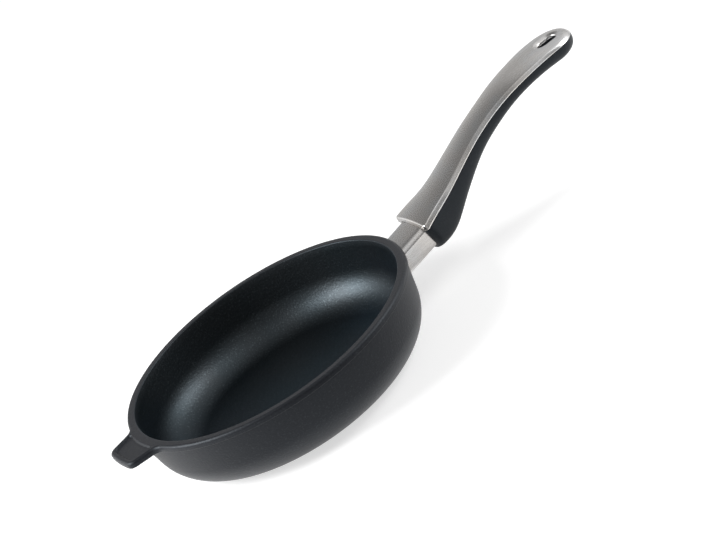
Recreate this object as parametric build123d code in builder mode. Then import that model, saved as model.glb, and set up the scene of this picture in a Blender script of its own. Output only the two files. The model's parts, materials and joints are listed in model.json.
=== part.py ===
from build123d import *

from math import atan2, cos, radians, sin, sqrt, tan
import os

os.makedirs("parts", exist_ok=True)

# Frame: origin at the middle of the base, +X along the handle, +Z up, millimetres

# Pan body
rim_radius = 100.0
pan_height = 47.0
rim_width = 6.0
rim_band_height = 4.2
rim_band_step = 0.9
rim_outer_round = 2.2
rim_inner_round = 0.9
rim_lower_round = 0.6
outer_draft = 10.8
outer_corner_radius = 28.0
floor_thickness = 6.5
inner_draft = 7.0
inner_corner_radius = 24.0

# Helper tab, opposite the handle
tab_reach = 17.5
tab_end_bow = 1.2
tab_tip_half_width = 17.0
tab_root_half_width = 22.5
tab_root_inset = 6.0
tab_corner_radius = 6.0
tab_fillet_radius = 8.0
tab_border = 2.8
tab_recess_depth = 1.2
tab_recess_corner = 3.5

# Neck, along an axis that leaves the rim circle below the rim and climbs outwards
neck_tilt = 9.5
neck_drop = 15.5
neck_width = 30.2
neck_height = 16.6
neck_crown = 0.6
neck_top_round = 4.2
neck_bottom_round = 3.0
sleeve_wall = 1.2
sleeve_gap = 0.1
socket_depth = 5.0
socket_gap = 0.15
lug_gap = 0.3
lug_end_gap = 2.0
lug_root = 8.0

# Tie screw, with its insert and washers
screw_diameter = 6.0
screw_length = 30.0
screw_clearance = 0.5
screw_head_diameter = 10.0
screw_head_height = 6.0
screw_key_width = 5.0
screw_key_depth = 3.0
screw_edge = 0.5
thread_gap = 0.05
insert_diameter = 9.0
insert_length = 14.0
insert_groove_depth = 0.6
insert_groove_width = 2.0
screw_web = 9.0
washer_diameter = 11.0
washer_bore = 6.4
washer_thickness = 1.6
lock_washer_diameter = 10.8
lock_washer_thickness = 1.6
lock_washer_slot = 1.0
screw_well_diameter = 12.0
screw_well_length = 60.0

# Handle, from the front lip to the centre of its round end
lip_reach = 17.6
lip_drop = 2.6
handle_run = 138.0
handle_rise = 35.5
front_half_width = 20.3
waist_half_width = 11.9
end_half_width = 16.6
front_crown = 1.6
end_crown = 1.0
front_flank = 3.4
end_flank = 2.4
flank_angle = 27.0
grip_depth = 27.0
grip_side = 1.8
front_corner_radius = 2.4

# Stations along the handle, as shares of the sizes above
run_shares = (0.0, 0.085, 0.165, 0.25, 0.355, 0.47, 0.588, 0.705, 0.82, 0.92, 1.0)
rise_shares = (0.0, 0.095, 0.1755, 0.298, 0.473, 0.652, 0.796, 0.9035, 0.9655, 0.995, 1.0)
front_flare_shares = (1.0, 0.66, 0.375, 0.205, 0.06, 0.0, 0.0, 0.0, 0.0, 0.0, 0.0)
end_flare_shares = (0.0, 0.0, 0.0, 0.0, 0.0, 0.0, 0.065, 0.4, 0.72, 0.94, 1.0)
depth_shares = (0.815, 0.969, 0.983, 0.854, 0.704, 0.57, 0.504, 0.452, 0.43, 0.444, 0.47)
belly_shares = (0.8, 0.8, 0.76, 0.72, 0.68, 0.66, 0.66, 0.66, 0.68, 0.7, 0.72)

# Top shell
sheet = 1.0
seat_gap = 0.1
cover_tail = 2.0
lip_gap = 0.2
lip_edge = 0.6
hole_setback = 2.2
hole_length = 14.0
hole_width = 9.0
dish_length = 18.6
dish_width = 13.6
dish_depth = 1.6
collar_depth = 2.9
collar_gap = 0.3
grip_hole_gap = 0.3

# Studs and nuts that hold the shell down
stud_stations = (6, 8)
stud_diameter = 4.0
stud_pad_diameter = 8.0
stud_pad_thickness = 0.8
stud_pad_gap = 0.15
stud_clearance = 0.2
stud_web = 4.0
stud_stickout = 0.8
nut_width = 7.0
nut_height = 3.2
nut_edge = 0.45
stud_washer_diameter = 9.0
stud_washer_thickness = 0.8
stud_well_diameter = 10.2

# How far cutting bodies run past what they cut
overrun = 5.0

# Planes and places worked out from the sizes
rim_plane = Plane.XY.offset(pan_height)
neck_direction = (cos(radians(neck_tilt)), 0.0, sin(radians(neck_tilt)))
neck_plane = Plane(
    origin=(rim_radius, 0.0, pan_height - neck_drop),
    x_dir=(0.0, 1.0, 0.0),
    z_dir=neck_direction,
)
neck_reach = (lip_reach + (neck_drop - lip_drop) * tan(radians(neck_tilt))) * cos(radians(neck_tilt))
socket_end = neck_reach + socket_depth
lug_reach = socket_end - lug_end_gap
screw_seat = socket_end + screw_web
head_seat = screw_seat + washer_thickness + lock_washer_thickness
screw_tip = head_seat - screw_length
lip_place = rim_radius + lip_reach
lip_height = pan_height - lip_drop
end_place = lip_place + handle_run
end_axis = Axis((end_place, 0.0, 0.0), (0.0, 0.0, 1.0))
shell_top = lip_height + handle_rise + end_crown
hole_plane = Plane((end_place + hole_setback, 0.0, shell_top))


def station_sizes(number):
    """Place, crease height, half width, crown, flank height and depth of the handle at a station."""
    share = run_shares[number]
    place = lip_place + handle_run * share
    crease = lip_height + handle_rise * rise_shares[number]
    front_flare = (front_half_width - waist_half_width) * front_flare_shares[number]
    end_flare = (end_half_width - waist_half_width) * end_flare_shares[number]
    half_width = waist_half_width + front_flare + end_flare
    crown = front_crown + (end_crown - front_crown) * share
    flank = front_flank + (end_flank - front_flank) * share
    depth = grip_depth * depth_shares[number]
    return place, crease, half_width, crown, flank, depth


def wall_profile(grow=0.0):
    """Half profile of the outside of the bowl, larger by the given amount."""
    top = pan_height - rim_band_height
    wall_radius = rim_radius - rim_band_step + grow
    foot_radius = wall_radius - top * tan(radians(outer_draft))
    with BuildSketch(Plane.XZ) as profile:
        with BuildLine():
            Polyline(
                (0.0, -grow),
                (foot_radius, -grow),
                (wall_radius, top),
                (wall_radius, top + rim_band_height / 2),
                (0.0, top + rim_band_height / 2),
                close=True,
            )
        make_face()
        foot = profile.vertices().sort_by_distance((foot_radius, -grow))[0]
        fillet(foot, radius=outer_corner_radius + grow)
    return profile.sketch


def neck_section(grow=0.0):
    """Cross-section of the neck, larger by the given amount, on its own plane at the rim circle."""
    half_width = neck_width / 2 + grow
    half_height = neck_height / 2 + grow
    shoulder = half_height - neck_crown
    with BuildSketch(neck_plane) as section:
        with BuildLine():
            ThreePointArc((-half_width, shoulder), (0.0, half_height), (half_width, shoulder))
            Polyline(
                (half_width, shoulder),
                (half_width, -half_height),
                (-half_width, -half_height),
                (-half_width, shoulder),
            )
        make_face()
        levels = section.vertices().group_by(Axis.Y)
        fillet(levels[-1], radius=neck_top_round + grow)
        levels = section.vertices().group_by(Axis.Y)
        fillet(levels[0], radius=neck_bottom_round + grow)
    return section.sketch


def cover_section(number, inset=0.0, tail=0.0):
    """Section of the space under the cover's skin, drawn inside it by the inset and longer by the tail."""
    place, crease, half_width, crown, flank, depth = station_sizes(number)
    slope = radians(flank_angle)
    top_half = half_width - inset * (1.0 - sin(slope)) / cos(slope)
    top = crease - inset
    foot_half = half_width + (flank + tail) * tan(slope) - inset / cos(slope)
    foot = crease - flank - tail
    with BuildSketch(Plane.YZ.offset(place)) as section:
        with BuildLine():
            ThreePointArc((-top_half, top), (0.0, top + crown), (top_half, top))
            Polyline((top_half, top), (foot_half, foot), (-foot_half, foot), (-top_half, top))
        make_face()
    return section.sketch


def belly_section(number):
    """Section of the grip below the cover, with upright sides and a rounded belly."""
    place, crease, half_width, crown, flank, depth = station_sizes(number)
    half = half_width + flank * tan(radians(flank_angle))
    top = crease - flank - seat_gap
    side = top - grip_side
    bottom = crease - depth
    pull = belly_shares[number]
    knee = side - (side - bottom) * pull
    with BuildSketch(Plane.YZ.offset(place)) as section:
        with BuildLine():
            Polyline((-half, side), (-half, top), (half, top), (half, side))
            Bezier((half, side), (half, knee), (half * pull, bottom), (0.0, bottom))
            Bezier((0.0, bottom), (-half * pull, bottom), (-half, knee), (-half, side))
        make_face()
    return section.sketch


def half_of(face):
    """The half of a handle section on the -Y side, which turns round the end."""
    with BuildSketch(Plane.YZ.offset(end_place)) as half:
        add(Plane.YZ.offset(end_place).to_local_coords(face))
        Rectangle(
            pan_height + rim_radius,
            (pan_height + rim_radius) * 2,
            align=(Align.MAX, Align.CENTER),
            mode=Mode.INTERSECT,
        )
    return half.sketch


def handle_body(sections):
    """Solid through a row of handle sections, with the last one turned half round for the end."""
    with BuildPart() as body:
        loft(sections)
        revolve(half_of(sections[-1]), axis=end_axis, revolution_arc=180)
    return body.part


def cover_body(inset=0.0, tail=0.0):
    """Solid under the skin of the cover."""
    return handle_body([cover_section(number, inset, tail) for number in range(len(run_shares))])


def front_block(inset=0.0, lean=0.0):
    """Block that starts at the lip with rounded corners, drawn in by the inset and tilted by the lean."""
    reach = pan_height + handle_rise + overrun
    front = lip_place + inset + lip_height * tan(radians(lean))
    half = front_half_width + front_flank * tan(radians(flank_angle)) - inset / cos(radians(flank_angle))
    with BuildPart() as block:
        with BuildSketch():
            with Locations((front, 0.0)):
                RectangleRounded(
                    handle_run * 2,
                    half * 2,
                    front_corner_radius - inset,
                    align=(Align.MIN, Align.CENTER),
                )
        extrude(amount=reach, dir=(-sin(radians(lean)), 0.0, cos(radians(lean))))
    return block.part


def stud_plane(number):
    """Plane under the shell's sheet at a station, square to the handle's top line."""
    place, crease, half_width, crown, flank, depth = station_sizes(number)
    before = station_sizes(number - 1)
    after = station_sizes(number + 1)
    slope = atan2(after[1] - before[1], after[0] - before[0])
    drop = sheet + stud_pad_gap
    normal = (-sin(slope), 0.0, cos(slope))
    origin = (place + drop * sin(slope), 0.0, crease + crown - drop * cos(slope))
    return Plane(origin=origin, x_dir=(0.0, 1.0, 0.0), z_dir=normal)


def hex_nut(seat):
    """Hexagon nut hanging below its seat, with its corners chamfered at both ends."""
    with BuildPart() as nut:
        with BuildSketch(seat):
            Circle(nut_width / sqrt(3))
        extrude(amount=-nut_height)
        chamfer(nut.edges().filter_by(GeomType.CIRCLE), length=nut_edge)
        with BuildSketch(seat):
            RegularPolygon(nut_width / 2, 6, major_radius=False)
            Circle(stud_diameter / 2 + thread_gap, mode=Mode.SUBTRACT)
        extrude(amount=-nut_height, mode=Mode.INTERSECT)
    return nut.part


def tab_outline():
    """Plan of the helper tab, from inside the rim to its bowed end."""
    tip = -(rim_radius + tab_reach)
    root = -(rim_radius - tab_root_inset)
    shoulder = tip + tab_end_bow
    with BuildSketch() as outline:
        with BuildLine():
            ThreePointArc((shoulder, -tab_tip_half_width), (tip, 0.0), (shoulder, tab_tip_half_width))
            Polyline(
                (shoulder, tab_tip_half_width),
                (root, tab_root_half_width),
                (root, -tab_root_half_width),
                (shoulder, -tab_tip_half_width),
            )
        make_face()
    return outline.sketch


# Pan body: rim plate with the tab, bowl, lug, then the cavity
with BuildPart() as pan_body:
    with BuildSketch(rim_plane) as plate:
        add(tab_outline())
        fillet(plate.vertices().group_by(Axis.X)[0], radius=tab_corner_radius)
        Circle(rim_radius)
        joints = plate.vertices().filter_by_position(Axis.X, -rim_radius, -rim_radius + tab_root_inset)
        fillet(joints, radius=tab_fillet_radius)
    extrude(amount=-rim_band_height)
    fillet(pan_body.faces().sort_by(Axis.Z)[-1].edges(), radius=rim_outer_round)
    fillet(pan_body.faces().sort_by(Axis.Z)[0].edges(), radius=rim_lower_round)
    revolve(wall_profile(), axis=Axis.Z)
    extrude(neck_section(-sleeve_wall - lug_gap), amount=lug_reach)
    extrude(neck_section(-sleeve_wall - lug_gap), amount=-lug_root)
    cavity_radius = rim_radius - rim_width
    cavity_height = pan_height - floor_thickness
    floor_radius = cavity_radius - cavity_height * tan(radians(inner_draft))
    with BuildSketch(Plane.XZ) as cavity:
        with BuildLine():
            Polyline(
                (0.0, floor_thickness),
                (floor_radius, floor_thickness),
                (cavity_radius, pan_height),
                (cavity_radius, pan_height + overrun),
                (0.0, pan_height + overrun),
                close=True,
            )
        make_face()
        foot = cavity.vertices().sort_by_distance((floor_radius, floor_thickness))[0]
        fillet(foot, radius=inner_corner_radius)
    revolve(axis=Axis.Z, mode=Mode.SUBTRACT)
    rings = pan_body.edges().filter_by(GeomType.CIRCLE)
    mouth = rings.sort_by(lambda ring: abs(ring.radius - cavity_radius) - ring.center().Z)[0]
    fillet(mouth, radius=rim_inner_round)
    with BuildSketch(rim_plane) as recess:
        add(tab_outline())
        offset(amount=-tab_border, kind=Kind.INTERSECTION)
        Circle(rim_radius, mode=Mode.SUBTRACT)
        fillet(recess.vertices(), radius=tab_recess_corner)
    extrude(amount=-tab_recess_depth, mode=Mode.SUBTRACT)
    with BuildSketch(neck_plane.offset(lug_reach)):
        Circle(insert_diameter / 2 + thread_gap)
    extrude(amount=-insert_length, mode=Mode.SUBTRACT)
    with BuildSketch(neck_plane.offset(lug_reach)):
        Circle(screw_diameter / 2 + thread_gap)
    extrude(amount=screw_tip - lug_reach - insert_groove_width, mode=Mode.SUBTRACT)

# Lug insert: threaded bush with a holding groove
with BuildPart() as lug_insert:
    with BuildSketch(neck_plane.offset(lug_reach)):
        Circle(insert_diameter / 2)
    extrude(amount=-insert_length)
    with BuildSketch(neck_plane.offset(lug_reach - (insert_length - insert_groove_width) / 2)):
        Circle(insert_diameter / 2)
        Circle(insert_diameter / 2 - insert_groove_depth, mode=Mode.SUBTRACT)
    extrude(amount=-insert_groove_width, mode=Mode.SUBTRACT)
    with BuildSketch(neck_plane.offset(lug_reach)):
        Circle(screw_diameter / 2 + thread_gap)
    extrude(amount=-insert_length, mode=Mode.SUBTRACT)

# Neck sleeve: rectangular tube from the pan wall into the grip's socket
with BuildPart() as neck_sleeve:
    extrude(neck_section(), amount=socket_end - sleeve_gap)
    extrude(neck_section(), amount=-lug_root)
    extrude(neck_section(-sleeve_wall), amount=socket_end + overrun, mode=Mode.SUBTRACT)
    extrude(neck_section(-sleeve_wall), amount=-lug_root - overrun, mode=Mode.SUBTRACT)
    revolve(wall_profile(sleeve_gap), axis=Axis.Z, mode=Mode.SUBTRACT)

# Grip: belly and core, cut square to the neck at its front
with BuildPart() as grip_core:
    add(cover_body(sheet + seat_gap, cover_tail))
    add(front_block(sheet + seat_gap), mode=Mode.INTERSECT)

with BuildPart() as grip:
    add(handle_body([belly_section(number) for number in range(len(run_shares))]))
    add(front_block(lean=neck_tilt), mode=Mode.INTERSECT)
    add(grip_core.part)
    extrude(neck_section(socket_gap), amount=socket_end, mode=Mode.SUBTRACT)
    with BuildSketch(neck_plane):
        Circle(screw_diameter / 2 + screw_clearance)
    extrude(amount=screw_seat + overrun, mode=Mode.SUBTRACT)
    with BuildSketch(neck_plane.offset(screw_seat)):
        Circle(screw_well_diameter / 2)
    extrude(amount=screw_well_length, mode=Mode.SUBTRACT)
    for number in stud_stations:
        top = stud_plane(number)
        with BuildSketch(top.offset(overrun)):
            Circle(stud_pad_diameter / 2 + stud_clearance)
        extrude(amount=-overrun - stud_pad_thickness - stud_clearance, mode=Mode.SUBTRACT)
        with BuildSketch(top):
            Circle(stud_diameter / 2 + stud_clearance)
        extrude(amount=-grip_depth, mode=Mode.SUBTRACT)
        with BuildSketch(top.offset(-stud_pad_thickness - stud_clearance - stud_web)):
            Circle(stud_well_diameter / 2)
        extrude(amount=-grip_depth, mode=Mode.SUBTRACT)
    with BuildSketch(hole_plane):
        SlotOverall(dish_length + collar_gap * 2, dish_width + collar_gap * 2)
    extrude(amount=-collar_depth - collar_gap, mode=Mode.SUBTRACT)
    with BuildSketch(hole_plane):
        SlotOverall(hole_length + grip_hole_gap * 2, hole_width + grip_hole_gap * 2)
    extrude(amount=-grip_depth, mode=Mode.SUBTRACT)

# Top shell: bent sheet with a front lip and a dished hole
with BuildPart() as shell_hollow:
    add(cover_body(sheet, cover_tail))
    add(front_block(sheet), mode=Mode.INTERSECT)

with BuildPart() as top_shell:
    add(cover_body())
    add(front_block(), mode=Mode.INTERSECT)
    add(shell_hollow.part, mode=Mode.SUBTRACT)
    extrude(neck_section(lip_gap), amount=socket_end, mode=Mode.SUBTRACT)
    with BuildSketch(hole_plane.offset(-collar_depth)):
        SlotOverall(dish_length, dish_width)
    extrude(amount=collar_depth - sheet / 2)
    with BuildSketch(hole_plane.offset(overrun)):
        SlotOverall(hole_length, hole_width)
    extrude(amount=-overrun - grip_depth, mode=Mode.SUBTRACT)
    with BuildSketch(hole_plane):
        SlotOverall(dish_length, dish_width)
    with BuildSketch(hole_plane.offset(-dish_depth)):
        SlotOverall(hole_length, hole_width)
    loft(mode=Mode.SUBTRACT)
    lip_crest = (lip_place, 0.0, lip_height + front_crown)
    fillet(top_shell.edges().sort_by_distance(lip_crest)[0], radius=lip_edge)

# Tie screw: cap screw with a hexagon socket
with BuildPart() as tie_screw:
    with BuildSketch(neck_plane.offset(head_seat)):
        Circle(screw_head_diameter / 2)
    extrude(amount=screw_head_height)
    with BuildSketch(neck_plane.offset(head_seat)):
        Circle(screw_diameter / 2)
    extrude(amount=-screw_length)
    rounds = tie_screw.edges().filter_by(GeomType.CIRCLE).sort_by(Axis.X)
    chamfer([rounds[0], rounds[-1]], length=screw_edge)
    with BuildSketch(neck_plane.offset(head_seat + screw_head_height)):
        RegularPolygon(screw_key_width / 2, 6, major_radius=False)
    extrude(amount=-screw_key_depth, mode=Mode.SUBTRACT)

# Flat washer and split lock washer under the head
with BuildPart() as screw_washer:
    with BuildSketch(neck_plane.offset(screw_seat)):
        Circle(washer_diameter / 2)
        Circle(washer_bore / 2, mode=Mode.SUBTRACT)
    extrude(amount=washer_thickness)

with BuildPart() as lock_washer:
    with BuildSketch(neck_plane.offset(screw_seat + washer_thickness)):
        Circle(lock_washer_diameter / 2)
        Circle(washer_bore / 2, mode=Mode.SUBTRACT)
        Rectangle(
            lock_washer_slot,
            lock_washer_diameter,
            align=(Align.CENTER, Align.MIN),
            mode=Mode.SUBTRACT,
        )
    extrude(amount=lock_washer_thickness)

# Studs under the shell, with their washers and nuts in the wells
washer_drop = stud_pad_thickness + stud_clearance + stud_web
nut_drop = washer_drop + stud_washer_thickness

with BuildPart() as shell_studs:
    for number in stud_stations:
        top = stud_plane(number)
        with BuildSketch(top):
            Circle(stud_pad_diameter / 2)
        extrude(amount=-stud_pad_thickness)
        with BuildSketch(top):
            Circle(stud_diameter / 2)
        extrude(amount=-nut_drop - nut_height - stud_stickout)

with BuildPart() as shell_washers:
    for number in stud_stations:
        with BuildSketch(stud_plane(number).offset(-washer_drop)):
            Circle(stud_washer_diameter / 2)
            Circle(stud_diameter / 2 + stud_clearance, mode=Mode.SUBTRACT)
        extrude(amount=-stud_washer_thickness)

with BuildPart() as shell_nuts:
    for number in stud_stations:
        add(hex_nut(stud_plane(number).offset(-nut_drop)))

# Every piece goes to its own file
pieces = {
    "pan_body": pan_body,
    "lug_insert": lug_insert,
    "neck_sleeve": neck_sleeve,
    "grip": grip,
    "top_shell": top_shell,
    "tie_screw": tie_screw,
    "screw_washer": screw_washer,
    "lock_washer": lock_washer,
    "shell_studs": shell_studs,
    "shell_washers": shell_washers,
    "shell_nuts": shell_nuts,
}
for name, piece in pieces.items():
    piece.part.label = name
    export_step(piece.part, f"parts/{name}.step")
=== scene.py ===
import json
import math

import bmesh
import bpy
import numpy as np
from bpy.props import FloatProperty, FloatVectorProperty, PointerProperty
from mathutils import Matrix, Vector


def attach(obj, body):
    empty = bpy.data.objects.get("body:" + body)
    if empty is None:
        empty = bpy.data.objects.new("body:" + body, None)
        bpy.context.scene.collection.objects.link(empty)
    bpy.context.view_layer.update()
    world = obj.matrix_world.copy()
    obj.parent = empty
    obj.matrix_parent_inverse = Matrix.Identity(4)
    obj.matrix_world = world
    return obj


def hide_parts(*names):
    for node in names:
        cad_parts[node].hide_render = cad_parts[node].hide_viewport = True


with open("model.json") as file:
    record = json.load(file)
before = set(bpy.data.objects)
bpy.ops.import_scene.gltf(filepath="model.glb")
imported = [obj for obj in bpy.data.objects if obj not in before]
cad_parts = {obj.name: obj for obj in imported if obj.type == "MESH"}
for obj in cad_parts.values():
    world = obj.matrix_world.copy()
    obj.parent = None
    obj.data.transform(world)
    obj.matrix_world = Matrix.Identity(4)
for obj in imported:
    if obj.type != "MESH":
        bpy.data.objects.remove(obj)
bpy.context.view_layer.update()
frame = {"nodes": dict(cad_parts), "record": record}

bl_info = {
    "name": "Omelette Pan",
    "version": (1, 0, 0),
    "blender": (4, 5, 0),
    "location": "3D View > Sidebar > Omelette Pan",
    "description": "Surfaces and finishes of an omelette pan with a steel-topped handle",
    "category": "Object",
}

MM = 0.001

# Points closer than the first distance are merged, and faces thinner than the second are dropped
MERGE_DISTANCE = 0.002 * MM
THIN_DISTANCE = 0.0005 * MM

# Angles in degrees over which an edge is shaded sharp, on solid pieces and on sheet
SOLID_EDGE = 32.0
SHEET_EDGE = 40.0

# Longest side of a face on the bowl and on the neck
BOWL_STEP = 6.0 * MM
NECK_STEP = 2.0 * MM

# Steps of the bowl's foot, inner corner and mouth, of the rim's edge and the band's, and across the flat rim
FOOT_STEPS, INNER_STEPS, MOUTH_STEPS, RIM_STEPS, BAND_STEPS, PLATE_STEPS = 26, 24, 6, 7, 5, 45

# Points of half the rim's outline on the tab's end, corner, side and fillet and on the rim circle
TAB_END_POINTS, TAB_CORNER_POINTS, TAB_SIDE_POINTS, TAB_FILLET_POINTS, RIM_POINTS = 28, 12, 16, 14, 236

# Steps of the neck's lower and upper corners
LOWER_STEPS, UPPER_STEPS = 8, 12

# Steps of the cover along its lip, front corner, side, side beside the hole and round end
LIP_STEPS, CORNER_STEPS, SIDE_STEPS, HOLE_SIDE_STEPS, END_STEPS = 12, 14, 109, 7, 31

# Steps across the cover's top, over its crease, into the dish and into the collar
TOP_STEPS, CREASE_STEPS, DISH_STEPS, COLLAR_STEPS = 14, 6, 10, 8

# Points of the grip's half section on its top, core side, ledge and belly, and steps along and round the end
SECTION_POINTS = (8, 3, 5, 30)
GRIP_STEPS, GRIP_END_STEPS = 117, 25

# Points of half the hanging hole and of the floor's edge
HOLE_POINTS, FLOOR_POINTS = 40, 96

# Rounds of correction that slide a section to the wall, and that lean the grip's front
WALL_ROUNDS, LEAN_ROUNDS = 12, 4

# Round cuts in the grip, behind the neck's socket for the tie screw and under the cover for each stud:
# diameter, number of points, start and end along the axis, in millimetres
SCREW_CUTS = ((7.0, 48, -1.0, 10.0), (12.0, 64, 9.0, 69.0))
STUD_CUTS = ((8.4, 48, -1.0, 5.0), (4.4, 32, -8.0, 0.0), (10.2, 56, -30.0, -5.0))

# Stations along the handle: shares of its run, rise, flares and depth
RUN_SHARES = (0.0, 0.085, 0.165, 0.25, 0.355, 0.47, 0.588, 0.705, 0.82, 0.92, 1.0)
RISE_SHARES = (0.0, 0.095, 0.1755, 0.298, 0.473, 0.652, 0.796, 0.9035, 0.9655, 0.995, 1.0)
FRONT_FLARE_SHARES = (1.0, 0.66, 0.375, 0.205, 0.06, 0.0, 0.0, 0.0, 0.0, 0.0, 0.0)
END_FLARE_SHARES = (0.0, 0.0, 0.0, 0.0, 0.0, 0.0, 0.065, 0.4, 0.72, 0.94, 1.0)
DEPTH_SHARES = (0.815, 0.969, 0.983, 0.854, 0.704, 0.57, 0.504, 0.452, 0.43, 0.444, 0.47)
BELLY_SHARES = (0.8, 0.8, 0.76, 0.72, 0.68, 0.66, 0.66, 0.66, 0.68, 0.7, 0.72)
STUD_STATIONS = (6, 8)

# Rows down the cover's flank, over the grip's front face and on the floor, as shares of the way
FLANK_SHARES = (0.34, 0.67, 1.0)
FACE_SHARES = (1.0, 0.6, 0.3, 0.0)
FLOOR_SHARES = (0.0, 0.02, 0.1, 0.4, 1.0)

# Turns of the chin's rounding, in degrees, at which the grip has a row
CHIN_TURNS = (0.0, 8.0, 16.0, 24.0, 32.0, 42.0, 54.0, 68.0, 80.0, 90.0)

# Turn of the cover's front corner, in radians, over which its wall starts to lean and leans fully
LEAN_START = 0.6
LEAN_FULL = 1.5

# How far the rim's flat is drawn past the mouth's rounding, as a share of that rounding
MOUTH_SHARE = 1.6

# Middle of the bowl's wall: height and radius, as shares of the pan's height and the rim's radius
WALL_SHARES = ((0.128, 0.0), (0.138, 0.76), (0.213, 0.85), (0.319, 0.894), (0.574, 0.939), (1.0, 0.946))

# Glow of the floor in what mirrors it, by the place along X and by the distance from the pan's middle
SIDE_GLOW_SHARES = ((0.16, 1.0), (0.34, 0.15), (0.5, 0.0), (0.66, 0.1), (0.76, 0.45), (0.9, 1.0))
FOOT_GLOW_SHARES = ((0.5, 1.0), (0.72, 0.0))

# Glow of the floor for the camera by that distance, all three as shares of their reach
SEEN_GLOW_SHARES = ((0.2, 0.62), (0.6, 0.95))

# The mirrored room by its turn: nought is level behind the pan, a half is overhead and one is level in front
ROOM_SHARES = (
    (0.0, 0.95), (0.055, 0.74), (0.11, 0.54), (0.155, 0.43), (0.22, 0.28), (0.36, 0.22),
    (0.45, 0.3), (0.55, 0.5), (0.72, 0.45), (0.84, 0.12), (1.0, 0.05),
)

# Brighter patches of the room, right of the pan, left of it near the ground and in front over the camera:
# strength, stops from left to right and stops by the turn
ROOM_PATCHES = (
    (
        0.75,
        ((0.57, 0.0), (0.61, 0.4), (0.64, 0.8), (0.7, 1.0)),
        ((0.13, 0.0), (0.17, 0.7), (0.2, 1.0), (0.66, 1.0), (0.8, 0.1)),
    ),
    (0.6, ((0.34, 1.0), (0.42, 0.0)), ((0.14, 1.0), (0.22, 0.0), (0.8, 0.0), (0.92, 1.0))),
    (
        1.0,
        ((0.5, 0.0), (0.54, 1.0), (0.58, 1.0), (0.62, 0.0)),
        ((0.52, 0.0), (0.6, 0.8), (0.76, 1.0), (0.88, 1.0), (0.95, 0.0)),
    ),
)

# Soft lamps: name, place in metres and power in watts, all square and aimed at one point
LAMPS = (("left", (-1.0, 0.3, 0.78), 22.0), ("right", (1.1, -0.33, 0.78), 9.5))
LAMP_SIZE = 0.7
LAMP_AIM = (0.0, 0.0, 0.03)

# The picture's camera: its place in metres, its ways right and ahead, its lens in millimetres and its range
CAMERA_PLACE = (-0.3807, -1.6480, 0.7551)
CAMERA_RIGHT = (0.7451, -0.4270, -0.5123)
CAMERA_AHEAD = (0.2451, 0.8897, -0.3852)
FOCAL_LENGTH, SENSOR_WIDTH = 150.84, 36.0
CLIP_START, CLIP_END = 0.01, 50.0


def length(name, description, millimetres):
    """A length that a user can change, with its default in millimetres."""
    return FloatProperty(
        name=name, description=description, default=millimetres * MM, min=0.0, unit="LENGTH", precision=5
    )


def angle(name, description, degrees):
    """An angle that a user can change, with its default in degrees."""
    return FloatProperty(
        name=name, description=description, default=math.radians(degrees), subtype="ANGLE", unit="ROTATION"
    )


def colour(name, description, value):
    """A colour that a user can change."""
    return FloatVectorProperty(
        name=name, description=description, default=value, size=3, min=0.0, max=1.0, subtype="COLOR"
    )


class PanShape(bpy.types.PropertyGroup):
    """Sizes of the cast pan body."""

    rim_radius: length("Rim radius", "Outside radius of the rim", 100.0)
    height: length("Height", "Height of the rim above the base", 47.0)
    rim_width: length("Rim width", "Width of the flat rim", 6.0)
    band_height: length("Band height", "Height of the thicker band round the rim", 4.2)
    band_step: length("Band step", "How far the band stands out from the wall", 0.9)
    outer_round: length("Outer rim edge", "Rounding of the rim's outer edge", 2.2)
    inner_round: length("Inner rim edge", "Rounding of the rim's inner edge", 0.9)
    lower_round: length("Lower band edge", "Rounding of the band's lower edge", 0.6)
    outer_draft: angle("Outer draft", "Slope of the wall outside", 10.8)
    foot_round: length("Foot round", "Rounding between wall and base", 28.0)
    floor: length("Floor", "Thickness of the floor", 6.5)
    inner_draft: angle("Inner draft", "Slope of the wall inside", 7.0)
    corner_round: length("Inner corner", "Rounding between wall and floor inside", 24.0)
    tab_reach: length("Tab reach", "How far the tab stands out from the rim", 17.5)
    tab_bow: length("Tab bow", "How far the tab's end bows outwards", 1.2)
    tab_tip: length("Tab tip", "Half width of the tab at its end", 17.0)
    tab_root: length("Tab root", "Half width of the tab at the rim", 22.5)
    tab_inset: length("Tab inset", "How far inside the rim the tab's sides end", 6.0)
    tab_corner: length("Tab corner", "Rounding of the tab's corners", 6.0)
    tab_fillet: length("Tab fillet", "Rounding between tab and rim", 8.0)
    tab_border: length("Tab border", "Width of the border round the recess", 2.8)
    recess_depth: length("Recess depth", "Depth of the recess in the tab", 1.2)
    recess_corner: length("Recess corner", "Rounding of the recess's corners", 3.5)
    recess_slope: length("Recess slope", "Width of the recess's sloping side", 1.1)


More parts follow.
